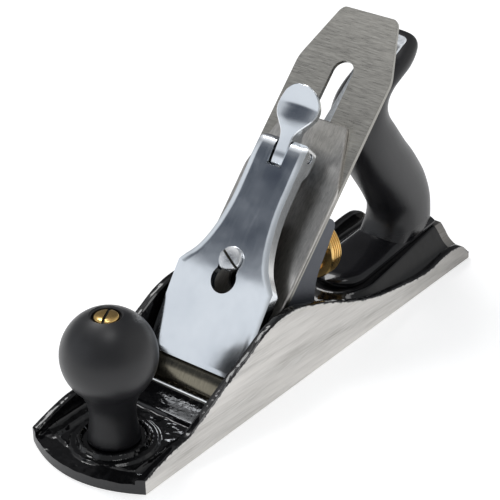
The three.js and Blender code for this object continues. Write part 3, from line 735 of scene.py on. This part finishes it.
TOTE_STATIONS = [
    # front (x, z), rear (x, z), half thickness, squareness
    ((-81, 9.5), (-121.0, 13.0), 13.4, 3.2),
    ((-84, 12.5), (-121.6, 15.5), 13.5, 3.2),
    ((-88.4, 16.8), (-122.2, 19), 13.5, 3.0),
    ((-91.8, 22), (-122.3, 24), 13.4, 2.8),
    ((-91.9, 28), (-121.9, 31), 13.4, 2.6),
    ((-88.4, 34), (-119.8, 38.5), 13.4, 2.5),
    ((-83.5, 41), (-116.4, 46), 13.5, 2.4),
    ((-76, 51.5), (-108, 58), 13.5, 2.4),
    ((-69.6, 62), (-101.2, 66), 13.4, 2.4),
    ((-64.2, 72), (-94, 75.5), 13.2, 2.4),
    ((-60.4, 81), (-88.9, 83), 12.8, 2.2),
    ((-59.9, 88), (-87.8, 88.5), 12.3, 2.05),
    ((-63.0, 95), (-89.6, 92.7), 11.8, 2.0),
    ((-69.8, 99.8), (-93, 96.2), 11.6, 2.0),
    ((-78.8, 103.5), (-97, 98.8), 11.6, 2.1),
    ((-87.5, 108.8), (-101.5, 101.6), 11.9, 2.3),
    ((-95, 113.7), (-105.6, 104.7), 11.4, 2.2),
    ((-100.5, 116.5), (-108.0, 108.6), 10.2, 2.1),
    ((-103.8, 117.0), (-108.2, 112.2), 7.4, 2.0),
    ((-105.4, 116.4), (-107.4, 114.4), 3.4, 2.0),
]


def superellipse(centre, along, half, power, count=40):
    """A ring about centre: along is the half vector in x and z, half the half width in y."""
    ring = []
    for j in range(count):
        angle = math.tau * j / count
        c, s = math.cos(angle), math.sin(angle)
        u = math.copysign(abs(c) ** (2 / power), c)
        v = math.copysign(abs(s) ** (2 / power), s)
        ring.append((centre[0] + along[0] * u, half * v, centre[1] + along[1] * u))
    return ring


def smooth_stations(stations, steps=4):
    """Fills in between the given stations by smooth curves through each of their values."""
    flat = np.array([[*front, *rear, half, power] for front, rear, half, power in stations])
    at = np.arange(len(flat), dtype=float)
    fine = np.linspace(0, len(flat) - 1, (len(flat) - 1) * steps + 1)
    columns = [spline(list(zip(at, flat[:, k])), fine) for k in range(flat.shape[1])]
    return np.stack(columns, axis=1)


def tote_seat(x):
    """Height of the tote's underside, just clear of the boss."""
    return BOSS_TOP_FRONT + 0.3 + (BOSS_FRONT_X - x) * BOSS_SLOPE


def tote_grip():
    rings = []
    for fx, fz, rx, rz, half, power in smooth_stations(TOTE_STATIONS):
        rings.append(superellipse(((fx + rx) / 2, (fz + rz) / 2), ((fx - rx) / 2, (fz - rz) / 2),
                                  half, power))
    return loft(rings)


def tote_foot():
    """Foot that runs forward from the grip, domed across."""
    rings = []
    crest = heights([(-130, 19), (-112, 18.4), (-98, 18), (-88, 16.6), (-78, 15), (-62, 13.9),
                     (-52, 13.2), (FOOT_FRONT_X, 11.6)])
    count = 42
    for i in range(count):
        s = i / (count - 1)
        x = FOOT_FRONT_X + (FOOT_BACK_X - FOOT_FRONT_X) * s**1.5
        nose = max(0.0, 1 + (x - FOOT_FRONT_X) / FOOT_HALF)
        half = max(FOOT_HALF * math.sqrt(max(0.0, 1 - nose**2)), 1.2)
        rise = crest(x)
        low = tote_seat(x)
        ring = [(x, -half, low)]
        for k in range(17):
            v = -1 + 2 * k / 16
            dome = (1 - abs(v) ** 2.3) ** 0.62
            ring.append((x, half * v, low + 1.6 + (rise - low - 1.6) * dome))
        ring.append((x, half, low))
        rings.append(ring)
    return loft(rings)


def keep_above(piece, point, normal):
    """Cuts a closed piece flat at a plane and keeps the side that the normal points to."""
    made = bmesh.new()
    made.from_mesh(piece.data)
    everything = made.verts[:] + made.edges[:] + made.faces[:]
    bmesh.ops.bisect_plane(made, geom=everything, dist=1e-7, plane_co=Vector(point) * MM,
                           plane_no=Vector(normal), clear_inner=True)
    open_edges = [edge for edge in made.edges if edge.is_boundary]
    bmesh.ops.holes_fill(made, edges=open_edges, sides=0)
    made.to_mesh(piece.data)
    made.free()


def tote():
    grip = mesh_piece("tote_handle", *tote_grip(), LOOKS["tote"], "plane_body", ["tote"], angle=50)
    seat_normal = (BOSS_SLOPE, 0, 1)
    seat_point = (-100, 0, tote_seat(-100))
    keep_above(grip, seat_point, seat_normal)
    foot = mesh_piece("tote_foot", *tote_foot(), LOOKS["tote"], "plane_body", ["tote"], angle=40)
    keep_above(foot, seat_point, seat_normal)
    cut_out(grip, [drill(on_tote, 88.3, 112, 6.1, 40)])


def on_tote(a, b, c):
    """A point of the tote rod's own axes."""
    lean = math.radians(TOTE_ROD_LEAN)
    return (TOTE_ROD_X + a * math.cos(lean) + c * math.sin(lean), b,
            TOTE_ROD_Z - a * math.sin(lean) + c * math.cos(lean))


def on_bed(t):
    """Axes of a bolt that stands on the bed at t."""
    return lambda a, b, c: bed(t - a, b, c)


# ---------------------------------------------------------------- plates of the cutting unit
def fine_outline(corners, step=1.6):
    """Rounds the (t, y, radius) corners of a half outline and resamples it."""
    points = [corners[0][:2]]
    for before, corner, after in zip(corners, corners[1:], corners[2:]):
        mid = Vector(corner[:2])
        a = Vector(before[:2]) - mid
        b = Vector(after[:2]) - mid
        a = mid + a.normalized() * min(corner[2], a.length * 0.48)
        b = mid + b.normalized() * min(corner[2], b.length * 0.48)
        points += [tuple(a * (1 - s) ** 2 + mid * 2 * s * (1 - s) + b * s * s)
                   for s in (i / 8 for i in range(9))] if corner[2] else [tuple(mid)]
    points.append(corners[-1][:2])
    out = [points[0]]
    for start, end in zip(points, points[1:]):
        length = math.dist(start, end)
        if length < 1e-6:
            continue
        count = max(1, math.ceil(length / step))
        out += [tuple(Vector(start).lerp(Vector(end), (i + 1) / count)) for i in range(count)]
    return out


def inset_outline(half, edge):
    """The half outline moved inwards by edge, with mitred ends."""
    mirrored = [(half[0][0], -half[0][1]), *half, (half[-1][0], -half[-1][1])]
    out = []
    for before, point, after in zip(mirrored, mirrored[1:], mirrored[2:]):
        a = (Vector(point) - Vector(before)).normalized()
        b = (Vector(after) - Vector(point)).normalized()
        normal_a = Vector((a.y, -a.x))
        normal_b = Vector((b.y, -b.x))
        mitre = (normal_a + normal_b).normalized()
        out.append(tuple(Vector(point) + mitre * edge / max(0.4, mitre.dot(normal_a))))
    return out


def plank(name, corners, top, bottom, edge, look, body, node, columns=14, drop=None, step=1.6,
          crown=0.0, twist=0.0):
    """A plate on the bed: a mirrored outline in (t, y), top and bottom heights, chamfered above.

    Across the bed the top falls by crown * y * y, and by a further twist * y * abs(y).
    """
    half = fine_outline(corners, step)
    while half[1][0] - half[0][0] < 1e-4:
        half.pop(0)
    while half[-1][0] - half[-2][0] < 1e-4:
        half.pop()
    inner = inset_outline(half, edge)
    drop = edge if drop is None else drop
    rings = []
    for (t, y), (ti, yi) in zip(half, inner):
        over = [(ti, yi * (1 - 2 * k / columns)) for k in range(columns + 1)]
        under = [(t, -y * (1 - 2 * k / columns)) for k in range(columns + 1)]
        low = bottom(t)
        left, right = (max(top(t) - crown * y * y - twist * w * abs(w) - drop, low + 0.05)
                       for w in (y, -y))
        ring = [bed(t, y, left),
                *(bed(a, b, top(a) - crown * b * b - twist * b * abs(b)) for a, b in over),
                bed(t, -y, right)]
        ring += [bed(a, b, low) for a, b in under]
        rings.append(ring)
    verts, faces = loft(rings, capped=False)
    count = len(rings[0])
    for base, flip in ((0, 1), ((len(rings) - 1) * count, -1)):
        chamfer = [base + k for k in range(columns + 3)]
        wall = [base, base + columns + 2, *(base + k for k in range(columns + 3, count))]
        faces += [tuple(chamfer[::flip]), tuple(wall[::flip])]
    return mesh_piece(name, verts, faces, LOOKS[look], body, [node], angle=30)


def heights(points):
    """A height along t: a smooth curve through (t, height) points."""
    return lambda t: float(spline(points, np.array([t]))[0])


def straight(points):
    """A height along t: straight between (t, height) points."""
    at = [p[0] for p in points]
    value = [p[1] for p in points]
    return lambda t: float(np.interp(t, at, value))


def bed_prism(outline, low, high):
    """A cutter: a closed (t, y) outline between two heights over the bed."""
    return loft([[bed(t, y, h) for t, y in outline] for h in (low, high)])


def bed_side_prism(outline, half):
    """A cutter: a closed (t, height) outline carried across the bed."""
    return loft([[bed(t, y, h) for t, h in outline] for y in (-half, half)])


def bed_hole(t, radius, low, high):
    return bed_prism(arc(t, 0, radius, 0, 352.5, 47), low, high)


def cam_rivet_hole(half):
    return bed_side_prism(arc(CAM_RIVET_T, CAM_RIVET_H, CAM_RIVET_RADIUS, 0, 345, 23), half)


def iron():
    corners = [(0.05, IRON_HALF), (159.4, IRON_HALF, 3), (187.3, 14.8, 4), (187.3, 10)]
    piece = plank("iron_blade", corners, lambda t: 0.0, lambda t: -min(2.0, 0.02 + t * 0.47), 0.14,
                  "iron", "iron_pack", "iron", step=4)
    cut_out(piece, [bed_prism(slot_loop(52, 157.7, 5.5), -4, 2), bed_hole(52, 8.5, -4, 2)])
    soften(piece, 0.12)


def cap_iron():
    low = [(1, 0.35), (3, 1), (6.5, 2.1), (11, 2.6), (16, 2), (22, 0.8), (29, 0.3), (140, 0.3)]
    high = [(1, 1), (3, 2.7), (6.5, 4.2), (11, 4.6), (16, 4), (22, 2.8), (29, 2.3), (140, 2.3)]
    corners = [(1, IRON_HALF), (106, IRON_HALF, 3), (134.2, 16, 3), (134.2, 13)]
    piece = plank("cap_iron_plate", corners, heights(high), heights(low), 0.45, "cap_iron",
                  "iron_pack", "cap_iron", step=1.2)
    yoke_slot = [(77.4, -3.3), (82.6, -3.3), (82.6, 3.3), (77.4, 3.3)]
    cut_out(piece, [bed_prism(slot_loop(57, 65, 7), -2, 8), bed_prism(yoke_slot, -2, 8),
                    bed_hole(112, 3.7, -2, 8)])
    piece.data.materials.append(LOOKS["hump_shade"])
    piece.data.materials.append(LOOKS["chrome"])
    # The front edge takes chrome, a brighter copy that gives a painted highlight line there; the
    # hump takes the darker steel, painted shade.
    for face in piece.data.polygons:
        x, _, z = face.center / MM
        up_bed = (z - x + EDGE_X) * SLOPE
        face.material_index = 2 if up_bed < 2.4 else int(up_bed < 15)
    soften(piece, 0.15)


CAP_TOP = [(10, 7.8), (20, 9.45), (30, 11.05), (40, 12.65), (47, 13.72), (54, 14.55), (62, 15.1),
           (80, 16.0), (100, 17.05), (112, 17.7), (114.5, 17.6), (116.5, 17.0), (118, 15.9)]
CAP_BOTTOM = [(13.5, 5), (20, 5.4), (48, 8), (56, 9.4), (103, 11.3), (106.5, 9), (120, 9)]


def lever_cap():
    corners = [(13.5, 13), (13.5, 24.9, 11.8), (53, 25.3, 0), (56.2, 23.0, 2), (60, 19.7, 3),
               (66, 16.8, 4), (75, 14.3, 6), (86, 12.8, 6), (117.5, 12.8, 3.6), (117.5, 5)]
    top = heights(CAP_TOP)
    piece = plank("lever_cap_casting", corners, top, straight(CAP_BOTTOM), 2.0, "chrome", "cap",
                  "lever_cap", drop=0.42, step=1.3, columns=20, crown=0.0001, twist=0.001)
    under = [(24, 2), (24, 6.8), (51, 10.8), (102, 13.4), (102, 2)]
    narrow = [(13, -21), (50, -21), (56, -17), (62, -14.6), (72, -11.4), (84, -9.6), (103, -9.6)]
    narrow += [(t, -y) for t, y in reversed(narrow)]
    cut_out(piece, [intersected(bed_side_prism(under, 30), bed_prism(narrow, 0, 16))])
    notch = [(104.5, -3.75), (121, -3.75), (121, 3.75), (104.5, 3.75)]
    cut_out(piece, [bed_prism(notch, 0, 30), bed_hole(KEYHOLE_T, 6.3, 0, 30),
                    bed_prism(slot_loop(KEYHOLE_T, 61, 5.2), 0, 30), cam_rivet_hole(20)])
    # Hollow faces take the dark rough-cast finish of the unplated underside; the front wall takes
    # it too, as painted shade for the dark line under the cap's front edge.
    piece.data.materials.append(LOOKS["rough_cast_and_shade"])
    for face in piece.data.polygons:
        x, y, z = face.center / MM
        up_bed, height = (z - x + EDGE_X) * SLOPE, (z + x - EDGE_X) * SLOPE
        inside = abs(y) < 21.2 and up_bed < 103 and height < top(up_bed) - 2.4
        outer_wall = abs(face.normal.y) > 0.3 and face.normal.y * y > 0
        front_wall = up_bed < 14.5 and height < top(up_bed) - 0.7
        face.material_index = int((inside and not outer_wall) or front_wall)
    soften(piece, 0.4, 3, 28)


def intersected(solid, other):
    """The (verts, faces) solid kept only inside another one."""
    first = put("first", mesh_from(solid))
    second = put("second", mesh_from(other))
    result = boolean(first, second, "INTERSECT")
    verts = [tuple(c / MM for c in v.co) for v in result.vertices]
    faces = [tuple(p.vertices) for p in result.polygons]
    for item in (first, second):
        bpy.data.objects.remove(item)
    return verts, faces


CAM_TOP = [(104, 15.2), (106.5, 16.2), (112, 17.1), (118, 18.1), (123, 19.0), (126, 19.4),
           (129.5, 19.62), (133, 19.85), (135, 20.3), (138, 21.7), (140.6, 23.1), (141.5, 23.6)]
CAM_BOTTOM = [(105.7, 11), (107, 8.6), (109.5, 6.2), (113.5, 5.05), (117, 6.6), (119.6, 11),
              (123, 15), (128, 16.4), (132, 16.9), (136, 18.3), (139, 20.2), (141.5, 22.4)]


def cam_lever():
    thumb = [(131.6 + 9.7 * math.sin(math.radians(a)), 10.6 * math.cos(math.radians(a)), 0)
             for a in range(-38, 80, 6)]
    corners = [(105.7, 3.15), (119.5, 3.15, 3), *thumb]
    piece = plank("cam_lever_arm", corners, heights(CAM_TOP), heights(CAM_BOTTOM), 0.4, "chrome",
                  "cam", "cam_lever", step=0.7, columns=14, crown=0.004)
    cut_out(piece, [cam_rivet_hole(8)])
    soften(piece, 0.3, 3, 30)


# ---------------------------------------------------------------- turned parts
def wheel_place(a, b, c):
    """Axes of the wheel, which turns about a line along x."""
    return (-c, a, WHEEL_Z + b)


def depth_wheel():
    back, front = -WHEEL_BACK_X, 34.2
    groove = WHEEL_RADIUS - 0.42
    rim = [(WHEEL_RADIUS - 0.5, front), (WHEEL_RADIUS, front + 0.6)]
    for k in range(4):
        at = front + 1.25 + 1.35 * k
        rim += [(WHEEL_RADIUS, at), (groove, at + 0.22), (groove, at + 0.5),
                (WHEEL_RADIUS, at + 0.72)]
    rim += [(WHEEL_RADIUS, back - 0.6), (WHEEL_RADIUS - 0.5, back)]
    profile = [(3.3, 23), (5.6, 23), (6, 23.4), (6, 24.6), (5.6, 24.9), (4.4, 24.9), (4.4, 36.6),
               (9.4, 36.6), (10.2, 35.2), (10.9, 34.3), *rim, (11, back), (10.2, back - 0.5),
               (9.4, back - 1.8), (3.3, back - 1.9), (3.3, 23)]
    verts, faces = revolve(profile, wheel_place, 96)
    mesh_piece("depth_wheel_rim", verts, faces, LOOKS["brass"], "wheel", ["depth_wheel"], angle=35)


def cap_screw():
    profile = [(0, 17.6), (3.4, 17.55), (4.9, 17.25), (5.45, 16.7), (5.6, 16.1), (5.5, 15.4),
               (5.2, 15.3), (3, 15.3), (3, -7.8), (0, -7.8)]
    verts, faces = revolve(profile, on_bed(SCREW_T), 64)
    piece = mesh_piece("lever_screw", verts, faces, LOOKS["screw"], "frog_body",
                       ["lever_cap_screw"])
    # The slot is lined with the dark rough-cast finish: painted shade in the recess.
    cut_out(piece, [driver_slot(on_bed(SCREW_T), 60, 8, 0.55, 15.9, 19)], LOOKS["rough_cast_and_shade"])
    soften(piece, 0.15)


def lateral_lever():
    """A bent strip on its rivet, swung a little to the left cheek."""
    swing = math.radians(5.4)
    plan = fine_outline([(-5.2, 3.4), (-5.2, 4.6, 4), (12, 5.4, 3), (24, 8, 6), (70, 6.8, 6),
                         (82, 7.6, 5), (96.5, 7.6, 5.5), (96.5, 1.5)], 1.2)
    side = straight([(-6, -2.6), (10.4, -2.6), (14, -7.6), (86, -7.6), (92, -8.8), (97, -11.6)])
    rings = []
    for along, half in plan:
        top = side(along)
        ring = []
        for height in (top, top - 1.2):
            for k in range(9):
                across = half * (1 - k / 4) * (1 if height == top else -1)
                t = LATERAL_T + along * math.cos(swing) - across * math.sin(swing)
                ring.append(bed(t, along * math.sin(swing) + across * math.cos(swing), height))
        rings.append(ring)
    piece = mesh_piece("lateral_strip", *loft(rings), LOOKS["strip"], "lateral",
                       ["lateral_lever"], angle=35)
    cut_out(piece, [bed_hole(LATERAL_T, 2, -9, 1)])
    soften(piece, 0.2)


# ---------------------------------------------------------------- CAD nodes that stay
def dress(look, *nodes, edge):
    """Gives CAD nodes a material, and rounds their edges."""
    for node in nodes:
        item = bpy.data.objects[node]
        for slot in item.material_slots:
            slot.material = LOOKS[look]
        item.modifiers.new("welded", "WELD").merge_threshold = 1e-6
        soften(item, edge, 2, 40)


front_knob()
body_casting()
tote()
slotted_nut("knob_nut_head", upright(KNOB_X), 62.3, 64.6, "knob_nut", "plane_body", 26)
slotted_nut("tote_nut_head", on_tote, 88.6, 91.2, "tote_nut", "plane_body", 20)
iron()
cap_iron()
lever_cap()
cam_lever()
depth_wheel()
cap_screw()
dress("frog", "frog", edge=0.5)
lateral_lever()
dress("strip", "lateral_roller", "lever_cap_spring", edge=0.2)
dress("screw", "y_lever", "y_lever_pin", "lateral_rivet", "cap_iron_screw", "spring_rivet",
      "cam_rivet", "frog_clip", "frog_clip_screw", "frog_adjust_screw", "depth_stud",
      "frog_screw_left", "frog_screw_right", "frog_washer_left", "frog_washer_right", "knob_stud",
      "tote_rod", edge=0.15)


# ---------------------------------------------------------------- studio
def sky():
    """A pale studio all round, with soft brighter and darker regions."""
    world = bpy.data.worlds.new("studio")
    bpy.context.scene.world = world
    world.use_nodes = True
    nodes, links = world.node_tree.nodes, world.node_tree.links
    back = nodes["Background"]
    source = nodes.new("ShaderNodeTexCoord").outputs["Generated"]
    color = None
    for direction, inner, outer, tone in SKY_REGIONS:
        dot = nodes.new("ShaderNodeVectorMath")
        dot.operation = "DOT_PRODUCT"
        dot.inputs[1].default_value = Vector(direction).normalized()
        links.new(source, dot.inputs[0])
        fade = nodes.new("ShaderNodeMapRange")
        fade.interpolation_type = "SMOOTHSTEP"
        fade.inputs["From Min"].default_value = math.cos(math.radians(outer))
        fade.inputs["From Max"].default_value = math.cos(math.radians(inner))
        links.new(dot.outputs["Value"], fade.inputs["Value"])
        mix = nodes.new("ShaderNodeMix")
        mix.data_type = "RGBA"
        links.new(fade.outputs["Result"], mix.inputs["Factor"])
        if color:
            links.new(color, mix.inputs["A"])
        else:
            mix.inputs["A"].default_value = (*SKY_TONE, 1)
        mix.inputs["B"].default_value = (*tone, 1)
        color = mix.outputs["Result"]
    links.new(color, back.inputs["Color"])
    back.inputs["Strength"].default_value = 1.0


SKY_TONE = (0.38, 0.39, 0.4)
SKY_REGIONS = [
    # direction, full inside this angle, gone beyond this one, tone
    ((-0.675, -0.548, 0.494), 14, 38, (0.12, 0.12, 0.125)),
    ((0.0, -0.46, 0.89), 10, 30, (0.95, 0.95, 0.96)),
    ((0.74, -0.58, 0.3), 24, 36, (0.8, 0.83, 0.87)),
    ((0.52, -0.53, 0.665), 4, 10.5, (0.045, 0.055, 0.075)),
    ((-0.5, 0.85, 0.2), 25, 50, (0.7, 0.7, 0.7)),
]


def floor():
    """A white ground just under the sole."""
    mesh = bpy.data.meshes.new("floor")
    size, drop = 4.0, -0.0002
    mesh.from_pydata([(-size, -size, drop), (size, -size, drop), (size, size, drop),
                      (-size, size, drop)], [], [(0, 1, 2, 3)])
    item = put("floor", mesh)
    look = Look("floor", (0.92, 0.92, 0.92), 0.7, emission_color=(1, 1, 1, 1),
                emission_strength=0.46)
    grain = look.noise(0.02, detail=2)
    look.color(look.mix(grain, (0.91, 0.91, 0.91), (0.93, 0.93, 0.93)))
    mesh.materials.append(look.material)


def lamp(name, place, size, power):
    """A disk light, in metres and watts, that faces the origin."""
    light = bpy.data.lights.new(name, "AREA")
    light.shape = "DISK"
    light.size = size
    light.energy = power
    item = put(name, light)
    item.location = place
    item.rotation_euler = (-Vector(place)).to_track_quat("-Z", "Y").to_euler()


def camera():
    """The photo's viewpoint: from in front of the toe, on the left cheek's side, and above."""
    data = bpy.data.cameras.new("camera")
    data.sensor_width = 36
    data.lens = 132.98
    data.clip_start, data.clip_end = 0.01, 20
    item = put("camera", data)
    right = Vector((-0.62218411, 0.78263791, -0.01910059))
    up = Vector((-0.39699475, -0.29438793, 0.86932785))
    back = Vector((0.67474595, 0.54846481, 0.49386664))
    axes = Matrix((right, up, back)).transposed().to_4x4()
    item.matrix_world = Matrix.Translation(Vector((541.879, 435.508, 444.427)) * MM) @ axes
    bpy.context.scene.camera = item


bpy.context.scene.view_settings.view_transform = "Standard"
sky()
floor()
lamp("key", (-0.1, -0.55, 1.05), 0.42, 3.2)
lamp("fill", (0.24, 0.26, 1.3), 0.5, 2.0)
camera()
